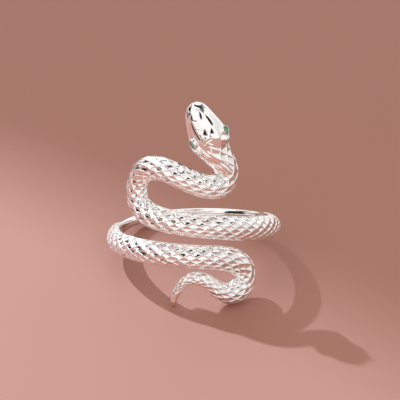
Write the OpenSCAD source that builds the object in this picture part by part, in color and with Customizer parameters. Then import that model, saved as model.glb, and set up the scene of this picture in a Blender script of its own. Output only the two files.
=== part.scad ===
// Snake ring: a cast metal snake that goes once round the finger, with two green eye stones.
// Millimetres. The ring is worked out round an upright finger on the Z axis, with its front towards -Y,
// and is then leaned back as it lies on a table.

/* [Finger] */
// Diameter of the finger hole
finger_d = 17.3; // [15:0.1:20]

/* [Body] */
// Thickness of the body on the front, from the finger outwards
body_t = 1.85; // [1.7:0.05:2]
// Height of the sides above the finger, where the rounded back of the body begins
side_h = 0.4; // [0.3:0.05:0.5]

/* [Net] */
// Length of one diamond of the net on the front, along the body
cell_len = 1.35; // [1.3:0.05:1.8]
// Depth of the diamonds below the ridges
cell_depth = 0.18; // [0.1:0.01:0.22]
// Share of a diamond that is its flat floor
floor_share = 0.55; // [0.4:0.05:0.7]

/* [Head] */
// Depth of the gaps between the plates of the head
gap_depth = 0.25; // [0.1:0.01:0.3]
// How much higher the head stands towards its right side, for each millimetre across
head_turn = 0.125; // [0:0.005:0.15]

/* [Eye stones] */
// Length of a stone
stone_len = 1.2; // [1:0.05:1.3]
// Width of a stone
stone_w = 0.62; // [0.5:0.02:0.7]
// Gap between a stone and its seat
seat_gap = 0.03; // [0.02:0.01:0.05]

/* [Rest] */
// Lean of the finger's axis towards the back
lean = 19.42; // [0:0.01:25]
// Roll of the finger's axis to the right
roll = -1.93; // [-10:0.01:10]

/* [Hidden] */

hole_r = finger_d / 2;
mid_r = hole_r + body_t / 2;

// Columns of the route: place round the finger in degrees, 0 at the front and growing to the right,
// place along the finger, width and thickness, which is for a body 1.85 thick
TURN = 0;
RISE = 1;
WIDTH = 2;
THICKNESS = 3;
// From the snout, round the finger once and on to the tip of the tail
ROUTE = [
    [0, 17.3, 1.0, 1.1],
    [3.5, 15.9, 3.1, 1.6],
    [8, 14.3, 4.0, 1.8],
    [12.5, 12.7, 4.5, 1.9],
    [17.5, 11.3, 3.6, 1.9],
    [22.5, 10.1, 3.1, 1.9],
    [25, 8.9, 3.1, 1.85],
    [21.5, 7.7, 3.0, 1.85],
    [12.5, 7.4, 2.85, 1.85],
    [2, 7.85, 2.8, 1.85],
    [-9, 8.6, 2.75, 1.85],
    [-18, 9.2, 2.8, 1.85],
    [-27, 9.45, 2.85, 1.85],
    [-36.5, 9.1, 2.9, 1.85],
    [-43, 8.0, 2.9, 1.85],
    [-45, 6.4, 2.9, 1.85],
    [-43, 5.0, 2.9, 1.85],
    [-35.5, 4.0, 2.9, 1.85],
    [-22, 3.4, 2.85, 1.85],
    [-5, 3.0, 2.8, 1.85],
    [20, 2.5, 2.85, 1.85],
    [50, 1.75, 2.9, 1.85],
    [85, 0.9, 2.6, 1.8],
    [130, 0.35, 1.6, 1.6],
    [180, 0, 1.35, 1.5],
    [230, -0.03, 1.2, 1.5],
    [255, -0.25, 1.55, 1.6],
    [278, -0.7, 2.45, 1.8],
    [310, -0.7, 2.8, 1.85],
    [340, -0.7, 2.8, 1.85],
    [365, -0.9, 2.8, 1.85],
    [381, -1.2, 2.9, 1.85],
    [392.5, -1.8, 3.0, 1.85],
    [399.5, -3.0, 3.1, 1.85],
    [399.5, -4.4, 3.05, 1.85],
    [394, -5.35, 2.9, 1.8],
    [385.5, -5.5, 2.5, 1.7],
    [377.5, -4.85, 2.1, 1.55],
    [371, -4.0, 1.75, 1.4],
    [364.5, -3.5, 1.6, 1.3],
    [358.5, -3.5, 1.4, 1.2],
    [353, -4.0, 1.2, 1.1],
    [348.8, -4.9, 1.1, 1.0],
    [346, -5.8, 1.0, 0.9],
    [345.3, -6.5, 0.8, 0.75],
    [345.3, -6.87, 0.5, 0.5]
];
LAST = len(ROUTE) - 1;

// Place of a row in the unrolled band, where X runs round the finger and Y along it
function spot(row) = [row[TURN] * PI / 180 * mid_r, row[RISE]];
function mix(a, b, f) = a + (b - a) * f;
function unit(v) = v / norm(v);
function clamped(value, low, high) = max(low, min(high, value));

// Smooth curve through the rows: a cubic over each span, with its slopes from the rows on both sides
FRONT_T = 1.85;
function row_values(i) = concat(spot(ROUTE[i]), [ROUTE[i][WIDTH], ROUTE[i][THICKNESS] * body_t / FRONT_T]);
function chord(i) = norm(spot(ROUTE[i + 1]) - spot(ROUTE[i]));
function span_slope(i) = (row_values(i + 1) - row_values(i)) / chord(i);
function row_slope(i) =
    i == 0 ? span_slope(0) :
    i == LAST ? span_slope(LAST - 1) :
    (span_slope(i - 1) * chord(i) + span_slope(i) * chord(i - 1)) / (chord(i - 1) + chord(i));
function on_span(i, f) =
    let (f2 = f * f, f3 = f2 * f, c = chord(i))
    row_values(i) * (2 * f3 - 3 * f2 + 1) + row_slope(i) * (f3 - 2 * f2 + f) * c
    + row_values(i + 1) * (3 * f2 - 2 * f3) + row_slope(i + 1) * (f3 - f2) * c;

SPAN_STEPS = 12;
CURVE = concat(
    [for (i = [0 : LAST - 1]) for (k = [0 : SPAN_STEPS - 1]) on_span(i, k / SPAN_STEPS)],
    [row_values(LAST)]
);
function flat(v) = [v[0], v[1]];
function step_after(i) = i + 1 < len(CURVE) ? norm(flat(CURVE[i + 1]) - flat(CURVE[i])) : 0;
// Distance from the snout at each point of the curve
REACH = [for (i = 0, s = 0; i < len(CURVE); s = s + step_after(i), i = i + 1) s];
WHOLE = REACH[len(REACH) - 1];
function column(k) = [for (i = [0 : len(CURVE) - 1]) [REACH[i], CURVE[i][k]]];
ROUND_AT = column(0);
RISE_AT = column(1);
WIDTH_AT = column(2);
THICKNESS_AT = column(3);

function place(s) = [lookup(s, ROUND_AT), lookup(s, RISE_AT)];
function turn_at(s) = lookup(s, ROUND_AT) / mid_r * 180 / PI;
LOOK = 0.2;
function heading(s) = unit(place(min(s + LOOK, WHOLE)) - place(max(s - LOOK, 0)));
function leftward(s) = let (h = heading(s)) [-h.y, h.x];

// Bend of the route, positive where it turns left, from the headings a little before and after
BEND_LOOK = 0.7;
function bend(s) =
    let (a = heading(max(s - BEND_LOOK, 0)), b = heading(min(s + BEND_LOOK, WHOLE)))
    asin(clamped(a.x * b.y - a.y * b.x, -1, 1)) * PI / 180 / (2 * BEND_LOOK);
// The body narrows on the inside of a tight bend, so that it doesn't run through itself
CROTCH_GAP = 0.12;
function soft_least(a, b) = a * b / pow(pow(a, 6) + pow(b, 6), 1 / 6);
function half_width(s, side) =
    let (half = lookup(s, WIDTH_AT) / 2, k = bend(s) * side)
    k > 0.05 ? soft_least(half, 1 / k - CROTCH_GAP) : half;

// A point of the unrolled band wrapped round the finger, at a height above the finger
function wrap(flat_place, out) =
    let (angle = flat_place.x / mid_r * 180 / PI, r = hole_r + out)
    [r * sin(angle), -r * cos(angle), flat_place.y];
function aside(s, across, out) = wrap(place(s) + leftward(s) * across, out);

// The back of the body: a dome of this many steps from its left side to its right side
STEPS = 11;
function dome_point(s, j, depth) =
    let (
        angle = 180 * j / STEPS,
        half = half_width(s, angle < 90 ? 1 : -1) - depth,
        top = lookup(s, THICKNESS_AT) - side_h - depth
    )
    aside(s, half * cos(angle), side_h + top * sin(angle));

// Columns of the head: distance from the snout, half width, height of the lip, half width of the shield
// of plates, height of the shield
HEAD = [
    [0.0, 0.55, 0.9, 0.15, 1.05],
    [0.3, 1.0, 1.1, 0.4, 1.35],
    [0.8, 1.36, 1.25, 0.72, 1.65],
    [1.6, 1.66, 1.4, 0.93, 1.95],
    [2.6, 1.95, 1.5, 1.05, 2.15],
    [3.6, 2.22, 1.6, 1.1, 2.3],
    [4.3, 2.4, 1.7, 1.05, 2.33],
    [4.5, 2.43, 1.7, 0.95, 1.97],
    [5.0, 2.35, 1.68, 0.95, 1.92],
    [5.6, 2.15, 1.65, 0.95, 1.9],
    [6.2, 1.87, 1.6, 0.95, 1.9]
];
NECK = HEAD[len(HEAD) - 1][0];
function head_column(k) = [for (row = HEAD) [row[0], row[k]]];
HEAD_HALF = head_column(1);
HEAD_LIP = head_column(2);
HEAD_SHIELD = head_column(3);
HEAD_TOP = head_column(4);
// Across the head from the middle: shield, the step down beside it, lip and cheek
HEAD_BASE = side_h * 0.7;
SHOULDER = 0.4;
function head_half(s) =
    let (
        half = lookup(s, HEAD_HALF), lip = lookup(s, HEAD_LIP),
        shield = lookup(s, HEAD_SHIELD), top = lookup(s, HEAD_TOP)
    )
    [
        [half * 0.96, HEAD_BASE],
        [half, mix(side_h, lip, 0.5)],
        [mix(half, shield, SHOULDER), lip],
        [shield + 0.14, mix(lip, top, 0.25)],
        [shield, mix(lip, top, 0.85)],
        [shield * 0.4, top]
    ];
// Height of the head above the finger at a place across it
function head_height(s, across) =
    let (half = head_half(s))
    lookup(abs(across), [for (k = [len(half) - 1 : -1 : 0]) half[k]]);
// The head turns a little on the neck, so its heights grow to the right and shrink to the left
TURN_FADES = 4.9;
function turned_height(s, across, out) =
    let (turn = head_turn * clamped((NECK - s) / (NECK - TURN_FADES), 0, 1))
    HEAD_BASE + (out - HEAD_BASE) * (1 + turn * across);
function head_place(s, across, out) = aside(s, across, turned_height(s, across, out));
function head_dome(s) =
    let (half = head_half(s))
    concat(
        [for (k = [0 : 5]) head_place(s, half[k][0], half[k][1])],
        [for (k = [5 : -1 : 0]) head_place(s, -half[k][0], half[k][1])]
    );

// The face against the finger: just clear of the hole on the front, and inside it round the back,
// where the hole is bored true
FREE = 0.06;
BITE = 0.3;
BORED_FROM = 60;
BORED_TO = 300;
ROUNDING = 0.25;
function finger_side(s) = turn_at(s) > BORED_FROM && turn_at(s) < BORED_TO ? -BITE : FREE;
function under_points(s, left, right) =
    [for (f = [0, 1 / 3, 2 / 3, 1]) aside(s, mix(-right + ROUNDING, left - ROUNDING, f), finger_side(s))];

function section(s) =
    s < NECK ? concat(head_dome(s), under_points(s, head_half(s)[0][0], head_half(s)[0][0])) :
    concat([for (j = [0 : STEPS]) dome_point(s, j, 0)], under_points(s, half_width(s, 1), half_width(s, -1)));
SIDES = STEPS + 1 + 4;

// Rows of sections: close on the head, half a diamond apart on the net, and wide round the plain back
PLAIN_FROM = 115;
PLAIN_TO = 245;
TIP = 2.2;
TIP_ROWS = 5;
HEAD_STEP = 0.25;
PLAIN_STEP = 1.5;
function is_plain(s) = turn_at(s) > PLAIN_FROM && turn_at(s) < PLAIN_TO;
function netted(s) = s > NECK - 0.01 && s < WHOLE - TIP && !is_plain(s);
FRONT_WIDTH = 2.8;
function row_step(s) =
    s < NECK - 0.01 ? min(HEAD_STEP, NECK - s) :
    is_plain(s) ? PLAIN_STEP :
    cell_len / 2 * mix(1, lookup(s, WIDTH_AT) / FRONT_WIDTH, 0.7);
TO_TIP = [for (s = 0.02, before = 0; before < WHOLE - TIP; before = s, s = s + row_step(s)) s];
ROWS = concat(TO_TIP, [for (k = [1 : TIP_ROWS]) mix(TO_TIP[len(TO_TIP) - 1], WHOLE, k / TIP_ROWS)]);
LAST_ROW = len(ROWS) - 1;
function row_place(i) =
    let (k = min(floor(i), LAST_ROW - 1))
    mix(ROWS[k], ROWS[k + 1], i - k);

RINGS = [for (s = ROWS) section(s)];
function corner(i, j) = i * SIDES + j;
// The strip after row i carries net; a diamond is whole where the strips on both sides of its row do
NET = [for (s = ROWS) netted(s)];
CELLS = [
    for (i = [1 : LAST_ROW - 1]) for (j = [0 : STEPS])
        if ((i + j) % 2 == 1 && NET[i - 1] && NET[i]) [i, j]
];
EDGE_REACH = 0.45;
function cell_points(c) =
    let (i = c[0], j = c[1])
    j == 0 ? [dome_point(row_place(i), EDGE_REACH, cell_depth)] :
    j == STEPS ? [dome_point(row_place(i), STEPS - EDGE_REACH, cell_depth)] :
    [
        dome_point(row_place(i - floor_share), j, cell_depth),
        dome_point(row_place(i), j + floor_share, cell_depth),
        dome_point(row_place(i + floor_share), j, cell_depth),
        dome_point(row_place(i), j - floor_share, cell_depth)
    ];
function cell_size(c) = c[1] == 0 || c[1] == STEPS ? 1 : 4;
CELL_BASE = len(ROWS) * SIDES;
CELL_AT = [for (k = 0, at = CELL_BASE; k < len(CELLS); at = at + cell_size(CELLS[k]), k = k + 1) at];
POINTS = concat(
    [for (ring = RINGS) each ring],
    [for (c = CELLS) each cell_points(c)]
);

function turned(faces) = [for (f = faces) [f[0], f[2], f[1]]];
function fan(centre, rim) = [for (k = [0 : len(rim) - 1]) [centre, rim[k], rim[(k + 1) % len(rim)]]];
function quad(a, b, c, d) = [[a, b, c], [a, c, d]];
// Floor and four sloping sides of a diamond, or the half diamond along a side of the body
function cell_faces(k) =
    let (
        i = CELLS[k][0], j = CELLS[k][1], at = CELL_AT[k],
        back = corner(i - 1, j), front = corner(i + 1, j),
        rim = [back, corner(i, j + 1), front, corner(i, j - 1)]
    )
    j == 0 ? fan(at, [back, corner(i, 1), front, corner(i, 0)]) :
    j == STEPS ? fan(at, [back, corner(i, j), front, corner(i, j - 1)]) :
    concat(
        quad(at, at + 1, at + 2, at + 3),
        [for (n = [0 : 3]) let (m = (n + 1) % 4) each quad(rim[n], rim[m], at + m, at + n)]
    );
// Flush triangles that end the net at row i: inner is the row next to it, on the net
function end_faces(i, inner) = [
    for (j = [0 : STEPS]) if ((i + j) % 2 == 1) each
        concat(
            j > 0 ? [[corner(i, j - 1), corner(i, j), corner(inner, j)]] : [],
            j < STEPS ? [[corner(i, j), corner(i, j + 1), corner(inner, j)]] : []
        )
];
NET_FIRST = [for (i = [1 : LAST_ROW - 1]) if (NET[i] && !NET[i - 1]) i];
NET_LAST = [for (i = [1 : LAST_ROW]) if (NET[i - 1] && !NET[i]) i];
function strip_faces(i, from, to) = [
    for (j = [from : to]) let (m = (j + 1) % SIDES)
        each quad(corner(i, j), corner(i, m), corner(i + 1, m), corner(i + 1, j))
];
FIRST_CAP = [for (j = [1 : SIDES - 2]) [corner(0, 0), corner(0, j), corner(0, j + 1)]];
LAST_CAP = [for (j = [1 : SIDES - 2]) [corner(LAST_ROW, 0), corner(LAST_ROW, j + 1), corner(LAST_ROW, j)]];
FACES = concat(
    turned([for (k = [0 : len(CELLS) - 1]) each cell_faces(k)]),
    turned([for (i = NET_FIRST) each end_faces(i, i + 1)]),
    [for (i = NET_LAST) each end_faces(i, i - 1)],
    turned([for (i = [0 : LAST_ROW - 1]) each strip_faces(i, NET[i] ? STEPS : 0, SIDES - 1)]),
    FIRST_CAP,
    LAST_CAP
);

// Columns of the eye stones: side of the head, distance from the snout, place across
EYES = [
    [-1, 4.26, 1.93],
    [1, 4.12, 1.86]
];
LEFT_EYE = EYES[0];
RIGHT_EYE = EYES[1];
STONE_OUT = 1.68;
STONE_TILT = 48;
EYE_LOOK = 0.3;
// Frame of an eye stone: along the head, across the stone and the way it faces
function eye_place(eye, ahead) =
    aside(eye[1] + ahead, eye[0] * eye[2], turned_height(eye[1], eye[0] * eye[2], STONE_OUT));
function eye_tilt(eye) = STONE_TILT - eye[0] * atan(head_turn * (STONE_OUT - HEAD_BASE));
function stone_frame(eye) =
    let (
        spot = eye_place(eye, 0),
        along = unit(eye_place(eye, EYE_LOOK) - spot),
        outward = unit([spot.x, spot.y, 0]),
        sideways = unit(cross(along, outward)) * -eye[0],
        facing = unit(outward * cos(eye_tilt(eye)) + sideways * sin(eye_tilt(eye)))
    )
    [spot, along, cross(facing, along), facing];
function in_frame(frame, v) = frame[0] + frame[1] * v.x + frame[2] * v.y + frame[3] * v.z;

// Pointed oval of eight corners, at a height in the frame of the stone
OVAL = [[1, 0], [0.62, 0.62], [0.22, 0.94], [-0.22, 0.94], [-0.62, 0.62], [-1, 0], [-0.62, -0.62],
    [-0.22, -0.94], [0.22, -0.94], [0.62, -0.62]];
SIDE_COUNT = len(OVAL);
function oval(frame, half_len, half_w, height) =
    [for (c = OVAL) in_frame(frame, [c.x * half_len, c.y * half_w, height])];
function ring_walls(low, high) = [
    for (k = [0 : SIDE_COUNT - 1]) let (m = (k + 1) % SIDE_COUNT)
        each quad(low * SIDE_COUNT + k, high * SIDE_COUNT + k, high * SIDE_COUNT + m, low * SIDE_COUNT + m)
];
function ring_lid(level) = [for (k = [0 : SIDE_COUNT - 1]) level * SIDE_COUNT + k];
function backwards(list) = [for (k = [len(list) - 1 : -1 : 0]) list[k]];

// Straight-sided block with the outline of the stone, grown on every side
module oval_block(frame, grow, low, high) {
    half_len = stone_len / 2 + grow * 1.4;
    half_w = stone_w / 2 + grow;
    polyhedron(
        concat(oval(frame, half_len, half_w, low), oval(frame, half_len, half_w, high)),
        concat(ring_walls(0, 1), [ring_lid(0), backwards(ring_lid(1))])
    );
}

// Cut stone: a table, a crown facet and a pavilion facet on every side of its girdle
GIRDLE_H = 0.05;
CROWN_H = 0.17;
TABLE_SHARE = 0.55;
KEEL_SHARE = 0.3;
PAVILION_H = 0.22;
module eye_stone(eye) {
    frame = stone_frame(eye);
    half_len = stone_len / 2;
    half_w = stone_w / 2;
    polyhedron(
        concat(
            oval(frame, half_len * KEEL_SHARE, half_w * KEEL_SHARE, -GIRDLE_H - PAVILION_H),
            oval(frame, half_len, half_w, -GIRDLE_H),
            oval(frame, half_len, half_w, 0),
            oval(frame, half_len * TABLE_SHARE, half_w * TABLE_SHARE, CROWN_H)
        ),
        concat(
            ring_walls(0, 1), ring_walls(1, 2), ring_walls(2, 3),
            [ring_lid(0), backwards(ring_lid(3))]
        )
    );
}
RIM = 0.13;
RIM_H = 0.05;
SEAT_FLOOR = -GIRDLE_H - PAVILION_H - seat_gap;
module stone_rim(eye) oval_block(stone_frame(eye), RIM, -0.7, RIM_H);
module stone_seat(eye) oval_block(stone_frame(eye), seat_gap, SEAT_FLOOR, 1);

// Gaps between the plates of the head, as clockwise outlines of distance from the snout and place across
HEAD_GAPS = [
    [[0.95, 0.27], [1.55, 0.3], [1.75, 0.16], [1.55, 0.08]],
    [[3.02, -0.08], [3.75, -0.12], [3.42, -0.46]],
    [[3.18, 0.6], [3.72, 0.56], [3.6, 0.24]],
    [[0.25, 0.08], [0.35, 0.45], [0.75, 0.72], [0.45, 0.28]],
    [[0.3, -0.5], [0.42, -0.36], [0.85, -0.64], [0.5, -0.66]],
    [[1.3, -0.66], [1.62, -0.62], [1.85, -0.38], [1.8, -0.72]],
    [[1.65, 0.7], [2.1, 0.92], [2.85, 0.98], [2.85, 0.78]],
    [[1.75, -0.92], [2.9, -0.98], [3.8, -0.92], [2.9, -1.1]],
    [[4.0, -0.42], [4.5, -0.24], [4.5, -0.56]],
    [[3.9, 0.08], [4.5, 0.3], [4.5, 0.02]]
];
GAP_TOP = 3;
module head_gap(outline) {
    count = len(outline);
    polyhedron(
        concat(
            [
                for (c = outline)
                    aside(c[0], c[1], turned_height(c[0], c[1], head_height(c[0], c[1])) - gap_depth)
            ],
            [for (c = outline) aside(c[0], c[1], GAP_TOP)]
        ),
        concat(
            [for (k = [1 : count - 2]) [0, k + 1, k]],
            [for (k = [1 : count - 2]) [count, count + k, count + k + 1]],
            [for (k = [0 : count - 1]) let (m = (k + 1) % count) each quad(k, m, m + count, k + count)]
        )
    );
}

// The ring as it lies: the finger's axis leans back and to one side, and the lowest point is on the table
function leaned(p) =
    let (
        y = p.y * cos(lean) + p.z * sin(lean),
        z = -p.y * sin(lean) + p.z * cos(lean)
    )
    [p.x * cos(roll) + z * sin(roll), y, -p.x * sin(roll) + z * cos(roll)];
LEANED = [for (p = POINTS) leaned(p)];
function middle(k) = (min([for (p = LEANED) p[k]]) + max([for (p = LEANED) p[k]])) / 2;
STAND = [middle(0), middle(1), min([for (p = LEANED) p.z])];
module rested() translate(-STAND) rotate([-lean, roll, 0]) children();

BORE_LEN = 20;
module snake() {
    color("silver") rested()
    difference() {
        union() {
            polyhedron(POINTS, FACES);
            stone_rim(LEFT_EYE);
            stone_rim(RIGHT_EYE);
        }
        cylinder(h = BORE_LEN, r = hole_r, center = true, $fn = 180);
        stone_seat(LEFT_EYE);
        stone_seat(RIGHT_EYE);
        for (outline = HEAD_GAPS) head_gap(outline);
    }
}
module left_eye_stone() { color("seagreen") rested() eye_stone(LEFT_EYE); }
module right_eye_stone() { color("seagreen") rested() eye_stone(RIGHT_EYE); }

snake();
left_eye_stone();
right_eye_stone();
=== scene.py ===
"""Snake ring in polished silver with green eye stones, resting on a plain table."""

import math

import bmesh
import bpy
import numpy as np
from mathutils import Matrix, Vector


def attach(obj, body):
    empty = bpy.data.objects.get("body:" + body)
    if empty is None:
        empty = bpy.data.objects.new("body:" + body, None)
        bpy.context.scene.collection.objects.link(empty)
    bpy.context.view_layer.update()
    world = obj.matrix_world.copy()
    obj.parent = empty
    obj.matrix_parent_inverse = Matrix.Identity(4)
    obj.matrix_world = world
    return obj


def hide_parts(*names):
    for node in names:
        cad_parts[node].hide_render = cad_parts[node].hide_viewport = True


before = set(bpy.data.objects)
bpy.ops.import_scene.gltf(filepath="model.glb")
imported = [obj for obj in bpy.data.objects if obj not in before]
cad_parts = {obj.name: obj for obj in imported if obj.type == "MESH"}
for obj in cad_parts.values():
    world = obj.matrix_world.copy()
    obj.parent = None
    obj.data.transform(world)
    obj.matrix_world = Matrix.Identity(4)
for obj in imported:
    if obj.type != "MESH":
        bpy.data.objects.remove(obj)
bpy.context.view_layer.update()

# The ring is worked out in millimetres round an upright finger on the Z axis and leaned as it lies at the
# end. Its sizes and tables are those of the part's source, with three differences. The net is rounded and
# shallower and reaches further down the tail, the tip of the tail is a little wider, and the plates of the
# head end on a line of their own.
# A place on the ring is given by s, its distance from the snout along the body, and by its distance or its
# steps across the body. Left and right are meant on the way from the snout to the tail, but as in the photo
# on the head, on the neck and in the names of the pieces.
MM = 0.001
HOLE_R = 8.65
BODY_T = 1.85
MID_R = HOLE_R + BODY_T / 2
# Height of the two edges of the back above the finger, on the body and at the head
SIDE_H = 0.4
HEAD_BASE = SIDE_H * 0.7
FRONT_WIDTH = 2.8
# Steps across the rounded back, from its left edge to its right edge
STEPS = 11
# How far ahead and behind the body's heading and its bends are read
LOOK = 0.2
BEND_LOOK = 0.7
# On the inside of a bend of less than 20 mm radius, half the width stays below the radius less a gap. The
# higher the power, the later that limit narrows the body.
LEAST_BEND = 1 / 20
CROTCH_GAP = 0.12
NARROWING = 6
LEAN = math.radians(19.42)
ROLL = math.radians(-1.93)
# Where the finger's axis crosses the ring's own zero height, above the table
RING_AT = np.array([-0.0127, 0.6498, 3.7514])

# Turn round the finger in degrees, place along the finger, width and thickness, from the snout to the tail
TURN, RISE, WIDTH, THICKNESS = range(4)
ROUTE = [
    [0, 17.3, 1.0, 1.1], [3.5, 15.9, 3.1, 1.6], [8, 14.3, 4.0, 1.8], [12.5, 12.7, 4.5, 1.9],
    [17.5, 11.3, 3.6, 1.9], [22.5, 10.1, 3.1, 1.9], [25, 8.9, 3.1, 1.85], [21.5, 7.7, 3.0, 1.85],
    [12.5, 7.4, 2.85, 1.85], [2, 7.85, 2.8, 1.85], [-9, 8.6, 2.75, 1.85], [-18, 9.2, 2.8, 1.85],
    [-27, 9.45, 2.85, 1.85], [-36.5, 9.1, 2.9, 1.85], [-43, 8.0, 2.9, 1.85], [-45, 6.4, 2.9, 1.85],
    [-43, 5.0, 2.9, 1.85], [-35.5, 4.0, 2.9, 1.85], [-22, 3.4, 2.85, 1.85], [-5, 3.0, 2.8, 1.85],
    [20, 2.5, 2.85, 1.85], [50, 1.75, 2.9, 1.85], [85, 0.9, 2.6, 1.8], [130, 0.35, 1.6, 1.6],
    [180, 0, 1.35, 1.5], [230, -0.03, 1.2, 1.5], [255, -0.25, 1.55, 1.6], [278, -0.7, 2.45, 1.8],
    [310, -0.7, 2.8, 1.85], [340, -0.7, 2.8, 1.85], [365, -0.9, 2.8, 1.85], [381, -1.2, 2.9, 1.85],
    [392.5, -1.8, 3.0, 1.85], [399.5, -3.0, 3.1, 1.85], [399.5, -4.4, 3.05, 1.85], [394, -5.35, 2.9, 1.8],
    [385.5, -5.5, 2.5, 1.7], [377.5, -4.85, 2.1, 1.55], [371, -4.0, 1.75, 1.4], [364.5, -3.5, 1.6, 1.3],
    [358.5, -3.5, 1.4, 1.2], [353, -4.0, 1.2, 1.1], [348.8, -4.9, 1.1, 1.0], [346, -5.8, 1.0, 0.9],
    [345.3, -6.5, 0.86, 0.75], [345.3, -6.87, 0.56, 0.5],
]
# Distance from the snout, half width, height of the lip, half width and height of the shield of plates
HEAD_S, HALF, LIP, SHIELD_HALF, SHIELD_TOP = range(5)
HEAD = [
    [0.0, 0.55, 0.9, 0.15, 1.05], [0.3, 1.0, 1.1, 0.4, 1.35], [0.8, 1.36, 1.25, 0.72, 1.65],
    [1.6, 1.66, 1.4, 0.93, 1.95], [2.6, 1.95, 1.5, 1.05, 2.15], [3.6, 2.22, 1.6, 1.1, 2.3],
    [4.3, 2.4, 1.7, 1.05, 2.36], [5.0, 2.35, 1.68, 0.95, 2.36], [5.6, 2.15, 1.65, 0.95, 2.3],
    [6.2, 1.87, 1.6, 0.95, 1.9],
]
# Distance from the snout and height behind the shield, where the neck begins
NECK_TOP = [[0.0, 1.95], [4.3, 1.95], [5.0, 1.9], [6.2, 1.9]]
NECK = 6.2
# Points of the two smooth curves between two rows of their tables
ROUTE_STEPS = 40
HEAD_STEPS = 20


def smoothstep(low, high, x):
    """0 up to low, 1 from high on, smooth between them."""
    f = np.clip((x - low) / (high - low), 0, 1)
    return f * f * (3 - 2 * f)


def fade(low, high, x):
    """1 up to low, 0 from high on, smooth between them."""
    return 1 - smoothstep(low, high, x)


def stretch(start, full, fading, end, x):
    """1 from full to fading, 0 before start and behind end, smooth between them."""
    return smoothstep(start, full, x) * fade(fading, end, x)


def unit(v):
    """A direction of length 1."""
    return v / np.linalg.norm(v)


def smooth_curve(rows, at, steps):
    """Cubic curve through rows whose places along it are at, with slopes from the rows on both sides."""
    rows = np.asarray(rows, float)
    gap = np.diff(at)
    span = np.diff(rows, axis=0) / gap[:, None]
    slope = np.vstack([
        span[:1],
        (span[:-1] * gap[1:, None] + span[1:] * gap[:-1, None]) / (gap[:-1] + gap[1:])[:, None],
        span[-1:],
    ])
    f = (np.arange(steps) / steps)[None, :, None]
    c = gap[:, None, None]
    start, end = rows[:-1, None], rows[1:, None]
    curve = (
        start * (2 * f**3 - 3 * f**2 + 1) + slope[:-1, None] * (f**3 - 2 * f**2 + f) * c
        + end * (3 * f**2 - 2 * f**3) + slope[1:, None] * (f**3 - f**2) * c
    )
    return np.vstack([curve.reshape(-1, rows.shape[1]), rows[-1:]])


def distances_along(points):
    """Distance of each point from the first one, along the line through them."""
    return np.concatenate([[0], np.cumsum(np.linalg.norm(np.diff(points, axis=0), axis=1))])


route = np.array(ROUTE, float)
route[:, TURN] = np.radians(route[:, TURN]) * MID_R
CURVE = smooth_curve(route, distances_along(route[:, [TURN, RISE]]), ROUTE_STEPS)
REACH = distances_along(CURVE[:, [TURN, RISE]])
WHOLE = REACH[-1]
head_rows = np.array(HEAD, float)
HEAD_CURVE = smooth_curve(head_rows, head_rows[:, HEAD_S], HEAD_STEPS)


def route_at(s, column):
    """One column of the route at a distance from the snout."""
    return np.interp(s, REACH, CURVE[:, column])


def head_at(s, column):
    """One column of the head's table at a distance from the snout."""
    return np.interp(s, HEAD_CURVE[:, HEAD_S], HEAD_CURVE[:, column])


def place(s):
    """The middle of the body on the unrolled finger."""
    return np.stack([route_at(s, TURN), route_at(s, RISE)], -1)


def turn_at(s):
    """Turn round the finger in degrees."""
    return np.degrees(route_at(s, TURN) / MID_R)


def heading(s):
    """Direction of the body on the unrolled finger, towards the tail."""
    step = place(np.minimum(s + LOOK, WHOLE)) - place(np.maximum(s - LOOK, 0))
    return step / np.linalg.norm(step, axis=-1, keepdims=True)


def half_width(s, side):
    """Half of the width on the left (1) or the right (-1), less on the inside of a tight bend."""
    a, b = heading(np.maximum(s - BEND_LOOK, 0)), heading(np.minimum(s + BEND_LOOK, WHOLE))
    bend = np.arcsin(np.clip(a[..., 0] * b[..., 1] - a[..., 1] * b[..., 0], -1, 1)) / (2 * BEND_LOOK) * side
    half = route_at(s, WIDTH) / 2
    room = 1 / np.maximum(bend, LEAST_BEND) - CROTCH_GAP
    narrowed = half * room / (half**NARROWING + room**NARROWING) ** (1 / NARROWING)
    return np.where(bend > LEAST_BEND, narrowed, half)


def aside(s, across, out):
    """Points to the left of the route (across above 0) or the right of it, at a height above the finger."""
    h = heading(s)
    spot = place(s) + np.stack([-h[..., 1], h[..., 0]], -1) * np.asarray(across)[..., None]
    angle = spot[..., 0] / MID_R
    r = HOLE_R + out
    return np.stack([r * np.sin(angle), -r * np.cos(angle), spot[..., 1]], -1)


def leaned(p):
    """From the upright finger's frame to the ring as it lies."""
    p = np.asarray(p, float)
    y = p[..., 1] * math.cos(LEAN) + p[..., 2] * math.sin(LEAN)
    z = -p[..., 1] * math.sin(LEAN) + p[..., 2] * math.cos(LEAN)
    x = p[..., 0]
    return np.stack([
        x * math.cos(ROLL) + z * math.sin(ROLL), y, -x * math.sin(ROLL) + z * math.cos(ROLL)
    ], -1)


def on_table(p):
    """From the upright finger's frame to the shared frame, in metres."""
    return (leaned(p) + RING_AT) * MM


# Rows of the net, half a diamond apart. Those of the head and of the plain back only carry the count on.
FIRST_ROW = 0.02
HEAD_STEP = 0.25
PLAIN_STEP = 1.5
CELL_LEN = 1.35
# How much of the body's change in width the diamonds follow in length
LENGTH_SHARE = 0.7
# Turns round the finger in degrees between which the back is plain
PLAIN_FROM, PLAIN_TO = 115, 245
# Length and rows of the plain end of the tail
TIP = 1.75
TIP_ROWS = 5
# What counts as the same distance from the snout
HAIR = 0.01


def row_step(s):
    """Distance from a row to the next one."""
    if s < NECK - HAIR:
        return min(HEAD_STEP, NECK - s)
    if PLAIN_FROM < turn_at(s) < PLAIN_TO:
        return PLAIN_STEP
    return CELL_LEN / 2 * (1 + (route_at(s, WIDTH) / FRONT_WIDTH - 1) * LENGTH_SHARE)


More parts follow.
